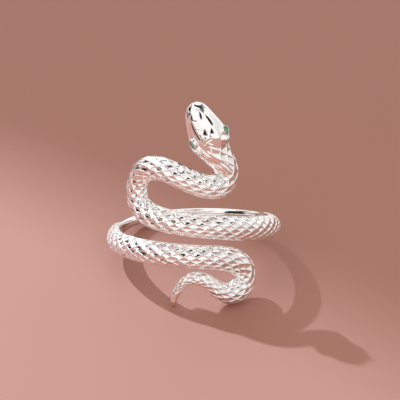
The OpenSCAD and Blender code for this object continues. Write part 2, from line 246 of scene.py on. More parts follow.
to_tip = [FIRST_ROW]
while to_tip[-1] < WHOLE - TIP:
    to_tip.append(to_tip[-1] + float(row_step(to_tip[-1])))
ROWS = np.concatenate([to_tip, np.linspace(to_tip[-1], WHOLE, TIP_ROWS + 1)[1:]])
ROW_NUMBERS = np.arange(len(ROWS))
on_plain_back = (turn_at(ROWS) > PLAIN_FROM) & (turn_at(ROWS) < PLAIN_TO)
netted_rows = np.flatnonzero((ROWS > NECK - HAIR) & (ROWS < WHOLE - TIP) & ~on_plain_back)
last_in_front = np.flatnonzero(np.diff(netted_rows) > 1)[0]
# First and last rows of the two stretches of net
FRONT_NET = (netted_rows[0], netted_rows[last_in_front] + 1)
TAIL_NET = (netted_rows[last_in_front + 1], netted_rows[-1] + 1)


def row_of(s):
    """Row number at a distance from the snout, carried on evenly into the head."""
    number = np.interp(s, ROWS, ROW_NUMBERS)
    first = ROWS[FRONT_NET[0]]
    pitch = ROWS[FRONT_NET[0] + 1] - first
    return np.where(s < first, FRONT_NET[0] - (first - s) / pitch, number)


def distance_of(row):
    """Distance from the snout of a row number."""
    return np.interp(row, ROW_NUMBERS, ROWS)


# Depth of the net, the share of it that the walls beside the ridges take, and the width of such a wall as a
# share of a diamond's side
CELL_DEPTH = 0.15
WALL_SHARE = 0.4
WALL_W = 0.1
# The net's fading in on the neck and out towards the plain back and the plain end of the tail
NECK_FADE = (4.9, 6.6)
BACK_FADE = 1.2
TIP_FADE = 0.5
# The net is shallower where the body is narrower, but keeps this share of its depth
LEAST_NET = 0.5
# Smooth grooves on the left of the neck in place of the net: their places in steps from the neck's left
# edge, their width in steps and their depth, and their stretches along the neck and across it. The places
# hold at one distance from the snout. Further on they move away from the edge, by steps a millimetre.
GROOVES = (1.1, 2.2, 3.3)
GROOVE_W = 0.28
GROOVE_DEPTH = 0.08
GROOVED_ALONG = (4.9, 5.8, 8.6, 9.8)
GROOVED_ACROSS = (3.6, 4.4)
GROOVES_HOLD_AT = 5.5
GROOVE_SLANT = 0.7


def net_depth(row, j):
    """Depth below the ridges at a place of the net, as a share of the full depth."""
    u, v = (row + j) / 2, (row - j) / 2
    du, dv = u - np.floor(u), v - np.floor(v)
    du, dv = np.minimum(du, 1 - du), np.minimum(dv, 1 - dv)
    wall = smoothstep(0, WALL_W, du) * smoothstep(0, WALL_W, dv)
    dish = np.sin(np.pi * du) * np.sin(np.pi * dv)
    return WALL_SHARE * wall + (1 - WALL_SHARE) * dish


def net_strength(s):
    """How deep the net is along the body, as a share."""
    back_from, back_to = ROWS[FRONT_NET[1]], ROWS[TAIL_NET[0]]
    end = ROWS[TAIL_NET[1]]
    front = stretch(*NECK_FADE, back_from - BACK_FADE, back_from, s)
    tail = stretch(back_to, back_to + BACK_FADE, end - TIP_FADE, end, s)
    return (front + tail) * np.clip(route_at(s, WIDTH) / FRONT_WIDTH, LEAST_NET, 1)


def sunk(row, s, j):
    """Depth below the smooth body at a row and a step across it: of the net, or of the neck's grooves."""
    from_edge = STEPS - j - GROOVE_SLANT * (s - GROOVES_HOLD_AT)
    grooved = stretch(*GROOVED_ALONG, s) * fade(*GROOVED_ACROSS, from_edge)
    groove = GROOVE_DEPTH * sum(np.exp(-((from_edge - at) / GROOVE_W) ** 2) for at in GROOVES)
    return CELL_DEPTH * net_strength(s) * net_depth(row, j) * (1 - grooved) + groove * grooved


def dome(s, j, depth):
    """The rounded back of the body at step j across it, sunk by a depth."""
    angle = np.pi * j / STEPS
    half = np.where(angle < np.pi / 2, half_width(s, 1), half_width(s, -1)) - depth
    top = route_at(s, THICKNESS) - SIDE_H - depth
    return aside(s, half * np.cos(angle), SIDE_H + top * np.sin(angle))


# How much higher the head is towards its right, as a share of its height for each millimetre across
HEAD_TURN = 0.125
# Size of an eye stone, its height and tilt on a head that isn't turned, and how far its direction is read
STONE_LEN, STONE_W = 1.2, 0.62
STONE_OUT = 1.68
STONE_TILT = 48
EYE_LOOK = 0.3
# Side (-1 left, 1 right), distance from the snout and place across of the two stones
EYE_PLACES = [(-1, 4.26, 1.93), (1, 4.12, 1.86)]
stone_rise = STONE_OUT - HEAD_BASE
# The same with the height and tilt on the turned head
EYES = [
    [side, at, across, STONE_OUT + stone_rise * HEAD_TURN * side * across,
     STONE_TILT - side * math.degrees(math.atan(HEAD_TURN * stone_rise))]
    for side, at, across in EYE_PLACES
]
# A stone's outline has pointed ends, so it grows more in length than in width
LENGTH_GROWTH = 1.4
# The range in which a growth is looked for, and how often the range is halved
GROWTH_RANGE = (-0.3, 1.5)
HALVINGS = 22
# The metal at a stone: its height from the stone's plane under the stone, how much it rises from there to
# the pad round the stone, and the growth of the outline within which it does
UNDER_STONE = -0.12
PAD_RISE = 0.1
PAD_EDGE = 0.06
# Growth of the outline up to which the pad is flat and to which it reaches. It reaches further on the side
# of the plates, from the middle of the stone on.
PAD_FLAT = 0.05
PAD_REACH = 0.13
PAD_MORE = 0.03
PAD_MORE_ACROSS = (-0.05, 0.25)
# Distances from the stone's plane between which the pull fades out
PULL_FADE = (0.8, 1.2)


def stone_frame(eye):
    """Middle of a stone and its three directions: along the head, across the stone and the way it faces."""
    side, at, across, out, tilt = eye

    def spot_at(s):
        return aside(np.array([s]), np.array([side * across]), np.array([out]))[0]

    spot = spot_at(at)
    along = unit(spot_at(at + EYE_LOOK) - spot)
    outward = unit(np.array([spot[0], spot[1], 0]))
    sideways = unit(np.cross(along, outward)) * -side
    facing = unit(outward * math.cos(math.radians(tilt)) + sideways * math.sin(math.radians(tilt)))
    return spot, along, np.cross(facing, along), facing


def outer_side(eye):
    """1 or -1: on which side of a stone the head ends."""
    _, at, _, out, _ = eye
    spot, _, across, _ = stone_frame(eye)
    middle = aside(np.array([at]), np.array([0.0]), np.array([out]))[0]
    return math.copysign(1, (spot - middle) @ across)


def growth(x, y):
    """How far the outline of a stone has to grow all round to reach a place."""
    low, high = (np.full(x.shape, limit) for limit in GROWTH_RANGE)
    for _ in range(HALVINGS):
        middle = (low + high) / 2
        half_len, half_w = STONE_LEN / 2 + middle * LENGTH_GROWTH, STONE_W / 2 + middle
        covered = np.abs(y) < half_w * (1 - np.minimum((x / half_len) ** 2, 1))
        low, high = np.where(covered, low, middle), np.where(covered, middle, high)
    return middle


def raised_round_eye(point, eye):
    """Pulls the cheek up to the plane of a stone round it, and down under the stone."""
    spot, along, across, facing = stone_frame(eye)
    away = point - spot
    x, y, z = away @ along, away @ across, away @ facing
    grown = growth(x, y)
    plane = UNDER_STONE + PAD_RISE * smoothstep(0, PAD_EDGE, grown)
    reach = PAD_REACH + PAD_MORE * smoothstep(*PAD_MORE_ACROSS, -y * outer_side(eye))
    near = fade(PAD_FLAT, reach, grown) * fade(*PULL_FADE, np.abs(z))
    return point + facing * (near * (plane - z))[..., None]


# Where the plates of the head end, in three lobes: distance from the snout, bend and place across
LOBES = [(4.42, 1.1, -0.76), (4.2, 2.2, -0.2), (4.52, 0.75, 0.78)]
# A section of the head has twelve knots. These values are of the first six, from the right cheek to the
# middle. Two are at the jaw, at shares of the half width. One is at the shoulder, a little above the lip,
# at a share of the way in to the shield. The last three are the shield's foot, its edge and its flat top.
JAW = (0.98, 1.02)
SHOULDER = 0.4
SHOULDER_H = 0.03
SHIELD_FOOT = 0.12
FLAT_TOP = 0.4
# How much of the shield's height above the lip each of the six has
RISES = (0, 0, 0, 0.2, 0.86, 1)
# How far the knots are rounded over, in steps, and how many readings that takes
SOFT_REACH = 0.4
SOFT_TAPS = 9


def shield_end(q):
    """Where the plates end: a left lobe, a pointed middle plate and a right lobe."""
    return np.max([end - bend * (q - at) ** 2 for end, bend, at in LOBES], axis=0)


def knots(s):
    """Places across, heights and shares of the shield's rise of the knots, and the height of the lip."""
    half, lip, shield = head_at(s, HALF), head_at(s, LIP), head_at(s, SHIELD_HALF)
    shoulder = half + (shield - half) * SHOULDER
    across = [half * JAW[0], half * JAW[1], shoulder, shield + SHIELD_FOOT, shield, shield * FLAT_TOP]
    height = [np.full_like(s, HEAD_BASE), (SIDE_H + lip) / 2, lip + SHOULDER_H, lip, lip, lip]
    share = [np.full_like(s, rise) for rise in RISES]
    across = np.stack(across + [-a for a in across[::-1]], -1)
    return across, np.stack(height + height[::-1], -1), np.stack(share + share[::-1], -1), lip


def softened(values, j):
    """Values at knots 0 to 11, read at j and rounded over a little to both sides."""
    total = 0
    taps = np.linspace(-SOFT_REACH, SOFT_REACH, SOFT_TAPS)
    for tap in taps:
        k = np.clip(j + tap, 0, STEPS)
        low = np.minimum(k.astype(int), STEPS - 1)
        f = k - low
        first = np.take_along_axis(values, low[..., None], -1)[..., 0]
        second = np.take_along_axis(values, low[..., None] + 1, -1)[..., 0]
        total = total + first + (second - first) * f
    return total / len(taps)


# Gaps between the plates, each a stroke of places (distance from the snout, across, half width of the gap)
STROKES = [
    [(0.16, 0.1, 0.05), (0.36, 0.36, 0.09), (0.55, 0.6, 0.1), (0.78, 0.74, 0.07), (1.08, 0.82, 0.03)],
    [(0.2, -0.36, 0.04), (0.32, -0.56, 0.1), (0.52, -0.66, 0.07), (0.7, -0.66, 0.03)],
    [(0.78, -0.8, 0.06), (0.95, -0.84, 0.05)],
    [(1.1, -0.68, 0.04), (1.36, -0.76, 0.08), (1.64, -0.8, 0.05)],
    [(1.66, -0.78, 0.035), (1.8, -0.42, 0.03)],
    [(1.02, 0.32, 0.03), (1.36, 0.26, 0.09), (1.62, 0.2, 0.08), (1.76, 0.16, 0.03)],
    [(1.72, 0.78, 0.07), (2.2, 0.86, 0.1), (2.7, 0.88, 0.09), (2.86, 0.88, 0.04)],
    [(1.8, -1.0, 0.04), (2.4, -1.09, 0.06), (3.1, -1.11, 0.08), (3.7, -1.05, 0.07), (4.15, -0.94, 0.04)],
    [(3.5, -0.78, 0.03), (3.72, -0.83, 0.03)],
    [(3.9, -0.42, 0.03), (4.05, -0.44, 0.035)],
    [(3.86, 0.1, 0.025), (4.05, 0.14, 0.035)],
]
# Fine seams between the plates, as strokes
SEAMS = [
    [(0.55, 0.16, 0.01), (0.95, 0.4, 0.012)],
    [(0.75, -0.05, 0.01), (1.05, 0.3, 0.012)],
    [(1.8, -0.42, 0.012), (1.95, 0.0, 0.012), (1.85, 0.5, 0.012), (1.75, 0.75, 0.012)],
    [(1.95, 0.0, 0.012), (2.15, -0.42, 0.012), (3.0, -0.34, 0.012), (3.45, 0.1, 0.012)],
    [(1.95, 0.0, 0.012), (2.2, 0.52, 0.012), (3.0, 0.5, 0.012), (3.45, 0.1, 0.012)],
    [(3.45, 0.1, 0.01), (3.9, 0.1, 0.012)],
    [(3.0, -0.34, 0.01), (2.6, -1.05, 0.012)],
    [(3.0, 0.5, 0.01), (2.8, 0.88, 0.012)],
]
# Pits between the plates, each a triangle of places (distance from the snout, across)
PITS = [
    [(2.98, -0.04), (3.74, -0.1), (3.5, -0.44)],
    [(3.14, 0.62), (3.74, 0.6), (3.62, 0.26)],
]
# Raised lines on the neck, as strokes
LINES = [
    [(4.72, -1.74, 0.02), (5.04, -1.7, 0.04), (5.6, -1.52, 0.05), (6.1, -1.34, 0.03)],
    [(4.95, -1.42, 0.01), (5.53, -1.22, 0.03), (6.1, -0.92, 0.02)],
    [(4.85, -1.0, 0.01), (4.64, -0.46, 0.03), (4.53, 0.1, 0.02)],
    [(4.5, -0.78, 0.02), (4.64, -0.46, 0.03), (5.1, -0.1, 0.01)],
    [(5.45, 1.24, 0.02), (6.15, 0.68, 0.03)],
]
# Depth or height of each kind, and the distances from its outline between which it fades out. A pit is cut
# like a gap.
GAP_DEPTH, GAP_FADE = 0.2, (-0.045, 0.035)
SEAM_DEPTH, SEAM_FADE = 0.025, (-0.01, 0.045)
LINE_HEIGHT, LINE_FADE = 0.07, (-0.03, 0.09)
# The swelling plate behind the right eye: its height, its start and its slanting end along the head, the
# length of the step down to the neck and the places across between which it rises
PLATE_HEIGHT = 0.28
PLATE_FROM = 4.2
PLATE_END, PLATE_SLANT = 4.62, 0.43
PLATE_STEP = 0.22
PLATE_ACROSS = (0.7, 1.6)
# The swelling ridge behind the left eye: its height, its place across, how far it turns inwards and between
# which distances from the snout, how far from its middle it fades out, and its stretch along the head
RIDGE_HEIGHT = 0.13
RIDGE_AT, RIDGE_INWARDS = -1.68, 0.32
RIDGE_TURNS = (5.2, 6.1)
RIDGE_FADE = (0.12, 0.34)
RIDGE_ALONG = (4.3, 5.4, 5.6, 6.1)
# Length of the step behind the shield
SHIELD_STEP = 0.13
# Where the head begins to pass into the body, how much later it does so on the right cheek, and between
# which places across that sets in
HEAD_END, CHEEK_LATER = 4.9, 0.3
CHEEK_ACROSS = (0.6, 1.6)
# On the head the net sinks towards the middle of the body, to this share of its place across
CORE_SHARE = 0.2


def stroke_distance(s, q, stroke):
    """Distance from the outline of a stroke, below 0 inside it."""
    best = np.full(s.shape, np.inf)
    for (s0, q0, r0), (s1, q1, r1) in zip(stroke[:-1], stroke[1:]):
        ds, dq = s1 - s0, q1 - q0
        f = np.clip(((s - s0) * ds + (q - q0) * dq) / (ds * ds + dq * dq), 0, 1)
        far = np.hypot(s - s0 - f * ds, q - q0 - f * dq) - (r0 + (r1 - r0) * f)
        best = np.minimum(best, far)
    return best


def pit_distance(s, q, corners):
    """Distance from the outline of a pit, below 0 inside it."""
    sides = []
    for (s0, q0), (s1, q1) in zip(corners, corners[1:] + corners[:1]):
        length = math.hypot(s1 - s0, q1 - q0)
        sides.append(((q - q0) * (s1 - s0) - (s - s0) * (q1 - q0)) / length)
    return np.max(sides, axis=0)


def nearest(distance, s, q, shapes):
    """Distance from the nearest of some shapes."""
    return np.min([distance(s, q, shape) for shape in shapes], axis=0)


def head_relief(s, q):
    """Depth of the gaps, pits and seams, less the height of the raised lines, and the painted shade of a
    place: black in the gaps and pits.
    """
    gap = np.minimum(nearest(stroke_distance, s, q, STROKES), nearest(pit_distance, s, q, PITS))
    cut = fade(*GAP_FADE, gap)
    fine = fade(*SEAM_FADE, nearest(stroke_distance, s, q, SEAMS))
    raised = fade(*LINE_FADE, nearest(stroke_distance, s, q, LINES))
    return np.maximum(GAP_DEPTH * cut, SEAM_DEPTH * fine) - LINE_HEIGHT * raised, cut


def cheek_lift(s, q):
    """Swelling of the cheeks behind the eyes: a plate on the right, a ridge to the neck on the left."""
    end = PLATE_END + PLATE_SLANT * q
    rise = np.clip((s - PLATE_FROM) / (end - PLATE_FROM), 0, 1)
    plate = rise * fade(end, end + PLATE_STEP, s) * smoothstep(*PLATE_ACROSS, q)
    ridge_at = RIDGE_AT + RIDGE_INWARDS * smoothstep(*RIDGE_TURNS, s)
    ridge = stretch(*RIDGE_ALONG, s) * fade(*RIDGE_FADE, np.abs(q - ridge_at))
    return PLATE_HEIGHT * plate + RIDGE_HEIGHT * ridge


def head_point(s, j):
    """The head at a distance from the snout and step j across it, and its painted shade there, black in the
    gaps and pits.
    """
    s, j = np.broadcast_arrays(s, j)
    across, height, share, lip = knots(s)
    q = softened(across, j)
    low = softened(height, j)
    rise = softened(share, j)
    end = shield_end(q)
    top_shield = head_at(s, SHIELD_TOP)
    top_neck = np.interp(s, *np.array(NECK_TOP).T)
    top = top_shield + (top_neck - top_shield) * smoothstep(end, end + SHIELD_STEP, s)
    out = low + rise * (top - lip)
    out = HEAD_BASE + (out - HEAD_BASE) * (1 + HEAD_TURN * q)
    depth, dark = head_relief(s, q)
    point = aside(s, q, out - depth + cheek_lift(s, q))
    for eye in EYES:
        point = raised_round_eye(point, eye)
    head_end = HEAD_END + CHEEK_LATER * smoothstep(*CHEEK_ACROSS, q)
    blend = smoothstep(head_end, NECK, s)[..., None]
    point = point + (dome(s, j, 0) - point) * blend
    # the net and the grooves begin on the neck
    inward = aside(s, q * CORE_SHARE, np.full_like(q, SIDE_H)) - point
    inward /= np.linalg.norm(inward, axis=-1, keepdims=True)
    return point + inward * sunk(row_of(s), s, j)[..., None], dark


class Shell:
    """Collects the points and faces of one closed skin."""

    def __init__(self):
        self.points = []
        self.dark = []
        self.faces = []
        self.count = 0

    def add(self, points, dark=None):
        """Adds points, with the painted shade at each, and returns their numbers."""
        points = np.asarray(points).reshape(-1, 3)
        self.points.append(points)
        self.dark.append(np.zeros(len(points)) if dark is None else np.asarray(dark).reshape(-1))
        first = self.count
        self.count += len(points)
        return np.arange(first, self.count)

    def grid(self, ids):
        """Faces between the rows and columns of a grid of points."""
        a, b, c, d = ids[:-1, :-1], ids[:-1, 1:], ids[1:, 1:], ids[1:, :-1]
        self.faces += np.stack([a, b, c, d], -1).reshape(-1, 4).tolist()

    def zip(self, ids_a, keys_a, ids_b, keys_b):
        """Triangles between two lines of points, each sorted by its keys."""
        a, b = 0, 0
        while a < len(ids_a) - 1 or b < len(ids_b) - 1:
            step_a = b == len(ids_b) - 1 or (a < len(ids_a) - 1 and keys_a[a + 1] <= keys_b[b + 1])
            if step_a:
                self.faces.append([int(ids_a[a]), int(ids_a[a + 1]), int(ids_b[b])])
                a += 1
            else:
                self.faces.append([int(ids_a[a]), int(ids_b[b + 1]), int(ids_b[b])])
                b += 1

    def fan(self, pole, loop):
        """Triangles from one point to a loop round it."""
        for k in range(len(loop)):
            self.faces.append([int(pole), int(loop[k]), int(loop[(k + 1) % len(loop)])])


# Places inside a diamond where its points lie: close on the ridges, wide on the floor
FINE = np.array([0, 0.045, 0.1, 0.18, 0.38, 0.62, 0.82, 0.9, 0.955])
PER_CELL = len(FINE)
# Borders of a stretch of net
START, END, LEFT, RIGHT = range(4)


def lattice(shell, rows):
    """A stretch of net between two rows, with its points on the ridges. Returns its four borders."""
    first, last = rows
    u_low = math.floor(first / 2) - 1
    v_low = math.floor((first - STEPS) / 2) - 1
    size_u = (math.ceil((last + STEPS) / 2) + 1 - u_low) * PER_CELL + 1
    size_v = (math.ceil(last / 2) + 1 - v_low) * PER_CELL + 1
    big_u, big_v = np.meshgrid(np.arange(size_u), np.arange(size_v), indexing="ij")
    u = u_low + big_u // PER_CELL + FINE[big_u % PER_CELL]
    v = v_low + big_v // PER_CELL + FINE[big_v % PER_CELL]
    across = (big_u + u_low * PER_CELL) - (big_v + v_low * PER_CELL)
    along = (big_u + u_low * PER_CELL) + (big_v + v_low * PER_CELL)
    inside = (across >= 0) & (across <= STEPS * PER_CELL)
    inside &= (along >= first * PER_CELL) & (along <= last * PER_CELL)
    row, j = u + v, u - v
    s = distance_of(row[inside])
    ids = np.full(inside.shape, -1)
    ids[inside] = shell.add(dome(s, j[inside], sunk(row[inside], s, j[inside])))
    corners = np.stack([ids[:-1, :-1], ids[1:, :-1], ids[1:, 1:], ids[:-1, 1:]], -1).reshape(-1, 4)
    whole = (corners >= 0).sum(1)
    shell.faces += corners[whole == 4].tolist()
    shell.faces += [[c for c in f if c >= 0] for f in corners[whole == 3].tolist()]
    borders = []
    for line, key in (
        (along == first * PER_CELL, j), (along == last * PER_CELL, j),
        (across == 0, row), (across == STEPS * PER_CELL, row),
    ):
        picked = inside & line
        order = np.argsort(key[picked])
        keys = key[picked][order]
        borders.append((ids[picked][order], keys if key is j else distance_of(keys)))
    return borders


# Size of the shrinking sections that round off an end, as shares
SHRINKING = np.array([0.99, 0.95, 0.88, 0.75, 0.5, 0.25])
# Length and bluntness of the two rounded ends
NOSE_ROUND, NOSE_BLUNT = 0.1, 2
TAIL_ROUND, TAIL_BLUNT = 0.1, 2.6
TAIL_END = WHOLE - TAIL_ROUND
# The middle that the ends shrink towards, as a share of the thickness, and how far back it is read
CENTRE_SHARE = 0.45
CENTRE_LOOK = 0.3


def beyond_end(length, bluntness):
    """How far each shrinking section lies beyond its end."""
    return (1 - SHRINKING**bluntness) ** (1 / bluntness) * length


NOSE_BEYOND = beyond_end(NOSE_ROUND, NOSE_BLUNT)
TAIL_BEYOND = beyond_end(TAIL_ROUND, TAIL_BLUNT)


def centre(s):
    """The middle of the body's section."""
    return aside(np.array([s]), np.array([0.0]), np.array([route_at(s, THICKNESS) * CENTRE_SHARE]))[0]


def off_end(points, end, beyond, size):
    """Points of the section at an end, shrunk and moved beyond it."""
    back = end - CENTRE_LOOK if end > 0 else end + CENTRE_LOOK
    return centre(end) + (points - centre(end)) * size + unit(centre(end) - centre(back)) * beyond


def rounded(section, end, beyond):
    """The shrinking sections beyond an end, from the body outwards."""
    return np.array([off_end(section, end, b, size) for b, size in zip(beyond, SHRINKING)])


# Columns of points across the head and across the plain parts, in steps
HEAD_COLUMNS = np.linspace(0, STEPS, 177)
COLUMNS = np.linspace(0, STEPS, 45)
# Rows of points: how far apart they are on the head, which ends just before the net, their number on the
# plain back and the plain end of the tail, and how far apart they are on the finger's side, with its lines
HEAD_ROW = 0.05
HEAD_TO = NECK - 0.03
BACK_ROWS = 60
TIP_POINT_ROWS = 24
UNDER_ROW = 0.3
UNDER_LINES = 11
# The rounded edge on the finger's side: distance in from the side and height
EDGE = [(0.02, 0.26), (0.06, 0.16), (0.12, 0.11), (0.2, 0.08)]
# Half width of the head on that side, as a share
UNDER_SHARE = 0.96
# How far that side stays clear of the finger, apart from the turns in degrees where it lies on it
FREE = 0.06
ON_FINGER = (50, 62, 298, 310)


def add_head(shell):
    """The head with the rounded snout. Returns its grid and the distance of each row from the snout."""
    s = np.arange(0, HEAD_TO, HEAD_ROW)
    points, dark = head_point(s[:, None], HEAD_COLUMNS[None, :])
    points = np.concatenate([rounded(points[0], 0, NOSE_BEYOND)[::-1], points])
    dark = np.concatenate([np.tile(dark[:1], (len(NOSE_BEYOND), 1)), dark])
    s = np.concatenate([-NOSE_BEYOND[::-1], s])
    ids = shell.add(points, dark).reshape(len(s), -1)
    shell.grid(ids)
    return ids, s


def add_back(shell):
    """The plain back between the two stretches of net. Returns its grid and the rows' distances."""
    s = np.linspace(ROWS[FRONT_NET[1]], ROWS[TAIL_NET[0]], BACK_ROWS + 2)[1:-1]
    ids = shell.add(dome(s[:, None], COLUMNS[None, :], 0)).reshape(len(s), -1)
    shell.grid(ids)
    return ids, s


def add_tip(shell):
    """The plain end of the tail with its rounded tip. Returns its grid and the rows' distances."""
    s = np.linspace(ROWS[TAIL_NET[1]], TAIL_END, TIP_POINT_ROWS)[1:]
    points = dome(s[:, None], COLUMNS[None, :], 0)
    points = np.concatenate([points, rounded(points[-1], TAIL_END, TAIL_BEYOND)])
    s = np.concatenate([s, TAIL_END + TAIL_BEYOND])
    ids = shell.add(points).reshape(len(s), -1)
    shell.grid(ids)
    return ids, s


def under_half(s, side):
    """Half width of the side on the finger, on the left (1) or the right (-1)."""
    return np.where(s < NECK, head_at(s, HALF) * UNDER_SHARE, half_width(s, side))


def add_underside(shell):
    """The smooth side on the finger, with rounded edges. Returns its grid and the rows' distances."""
    s = np.concatenate([np.arange(0, TAIL_END, UNDER_ROW), [TAIL_END]])
    left, right = under_half(s, 1), under_half(s, -1)
    free = FREE * (1 - stretch(*ON_FINGER, turn_at(s)))
    lines = [aside(s, left - inset, free + height) for inset, height in EDGE]
    inset, height = EDGE[-1]
    for f in np.linspace(0, 1, UNDER_LINES)[1:-1]:
        across = (left - inset) * (1 - f) - (right - inset) * f
        lines.append(aside(s, across, free + height * (2 * f - 1) ** 2))
    lines += [aside(s, -right + inset, free + height) for inset, height in EDGE[::-1]]
    points = np.stack(lines, 1)
    nose = rounded(points[0], 0, NOSE_BEYOND)[::-1]
    tail = rounded(points[-1], TAIL_END, TAIL_BEYOND)
    s = np.concatenate([-NOSE_BEYOND[::-1], s, TAIL_END + TAIL_BEYOND])
    ids = shell.add(np.concatenate([nose, points, tail])).reshape(len(s), -1)
    shell.grid(ids)
    return ids, s


def build_snake():
    """The closed skin of the snake, from the snout to the tip of the tail."""
    shell = Shell()
    head, s_head = add_head(shell)
    front = lattice(shell, FRONT_NET)
    tail = lattice(shell, TAIL_NET)
    back, s_back = add_back(shell)
    tip, s_tip = add_tip(shell)
    shell.zip(head[-1], HEAD_COLUMNS, *front[START])
    shell.zip(*front[END], back[0], COLUMNS)
    shell.zip(back[-1], COLUMNS, *tail[START])
    shell.zip(*tail[END], tip[0], COLUMNS)

    # small triangles at those corners of the net where no point of it lies
    for net, before, after in ((front, head[-1], back[0]), (tail, back[-1], tip[0])):
        for border, neighbour, end in ((START, before, 0), (END, after, -1)):
            for side, column in ((LEFT, 0), (RIGHT, -1)):
                in_row, on_side = net[border][0][column], net[side][0][end]
                if in_row != on_side:
                    shell.faces.append([int(neighbour[column]), int(in_row), int(on_side)])

    under, s_under = add_underside(shell)
    for side, column in ((LEFT, 0), (RIGHT, -1)):
        ids = [head[:, column], front[side][0], back[:, column], tail[side][0], tip[:, column]]
        keys = [s_head, front[side][1], s_back, tail[side][1], s_tip]
        shell.zip(np.concatenate(ids), np.concatenate(keys), under[:, column], s_under)

    # the poles of the two rounded ends
    for end, beyond, upper, lower in (
        (0, NOSE_ROUND, head[0], under[0]), (TAIL_END, TAIL_ROUND, tip[-1], under[-1])
    ):
        pole = shell.add(off_end(centre(end), end, beyond, 1))[0]
        shell.fan(pole, np.concatenate([upper, lower[::-1]]))
    return shell


# The rim round a stone: growth of the stone's outline and height from its plane, for each line of the rim
RIM = [
    (0.02, -0.3), (-0.05, 0.02), (-0.055, 0.04), (-0.035, 0.06), (0.0, 0.065), (0.05, 0.04), (0.09, -0.02),
    (0.12, -0.3),
]
RIM_TURNS = 72
# How much higher the rim is on its outer side, and how far it leans outwards there
OUTER_RIM = 0.16
RIM_LEAN = 0.6
# How far the rim reaches over the pointed ends of the stone at most
OVER_ENDS = 0.02


def bezel(eye):
    """A low rounded rim that holds the stone: a closed ring with a pointed oval outline."""
    spot, along, across, facing = stone_frame(eye)
    outside = outer_side(eye)
    points = []
    for k in range(RIM_TURNS):
        t = 2 * math.pi * k / RIM_TURNS
        x = math.cos(t)
        y = math.copysign(1 - x * x, math.sin(t))
        raised = OUTER_RIM * max(y * outside, 0) ** 0.5
        for grow, height in RIM:
            lift = raised if height > 0 else 0
            a = x * (STONE_LEN / 2 + max(grow * LENGTH_GROWTH, -OVER_ENDS))
            b = y * (STONE_W / 2 + grow + RIM_LEAN * lift)
            points.append(spot + along * a + across * b + facing * (height + lift))
    count = len(RIM)
    faces = []
    for k in range(RIM_TURNS):
        m = (k + 1) % RIM_TURNS
        for i in range(count):
            n = (i + 1) % count
            faces.append([k * count + i, k * count + n, m * count + n, m * count + i])
    return np.array(points), faces


def mesh_object(name, points, faces, dark=None):
    """A smooth closed piece from points in millimetres round the upright finger."""
    placed = on_table(points)
    # the ridges that touch the table are flat there
    placed[:, 2] = np.maximum(placed[:, 2], 0)
    mesh = bpy.data.meshes.new(name)
    mesh.from_pydata(placed.tolist(), [], faces)
    mesh.validate()
    if dark is not None:
        # the painted shade of the head's gaps and pits, read by the silver material
        layer = mesh.attributes.new("dark", "FLOAT", "POINT")
        layer.data.foreach_set("value", np.asarray(dark, np.float32))
    obj = bpy.data.objects.new(name, mesh)
    bpy.context.scene.collection.objects.link(obj)
    turn_faces_out(obj)
    return obj


def turn_faces_out(obj):
    """Turns the faces of a closed mesh outwards, shades them smooth and reports open edges."""
    bm = bmesh.new()
    bm.from_mesh(obj.data)
    bmesh.ops.recalc_face_normals(bm, faces=bm.faces)
    open_edges = sum(len(edge.link_faces) != 2 for edge in bm.edges)
    bm.to_mesh(obj.data)
    bm.free()
    obj.data.polygons.foreach_set("use_smooth", [True] * len(obj.data.polygons))
    print(obj.name, len(obj.data.polygons), "faces,", open_edges, "open edges")


shell = build_snake()
metal = [mesh_object("silver_snake", np.concatenate(shell.points), shell.faces, np.concatenate(shell.dark))]
for eye, name in zip(EYES, ("left_bezel", "right_bezel")):
    metal.append(mesh_object(name, *bezel(eye)))


# Materials: their colours, as red, green and blue
SILVER = (0.97, 0.96, 0.945)
# Black of the painted shade in the gaps and pits between the plates of the head
GAP_SHADE = (0.012, 0.012, 0.013)
DEEP_GREEN = (0.1, 0.4, 0.26)
PALE_GREEN = (0.5, 0.92, 0.7)
ROSE = (0.436, 0.184, 0.128)
PALE_ROSE = (0.452, 0.191, 0.134)


def node_material(name):
    """A new material with its nodes, its links and its shader."""
    mat = bpy.data.materials.new(name)
    mat.use_nodes = True
    nodes, links = mat.node_tree.nodes, mat.node_tree.links
    return mat, nodes, links, nodes["Principled BSDF"]


def add_noise(nodes, links, scale, detail):
    """A cloudy pattern in the object's own space, with about as many clouds on a metre as its scale."""
    coords = nodes.new("ShaderNodeTexCoord")
    noise = nodes.new("ShaderNodeTexNoise")
    noise.inputs["Scale"].default_value = scale
    noise.inputs["Detail"].default_value = detail
    links.new(coords.outputs["Object"], noise.inputs["Vector"])
    return noise.outputs["Fac"]


def add_ramp(nodes, links, value, *stops):
    """A colour that goes from one stop to the other, each a place on the ramp and its colour."""
    ramp = nodes.new("ShaderNodeValToRGB")
    for element, (position, colour) in zip(ramp.color_ramp.elements, stops):
        element.position = position
        element.color = (*colour, 1)
    links.new(value, ramp.inputs["Fac"])
    return ramp.outputs["Color"]


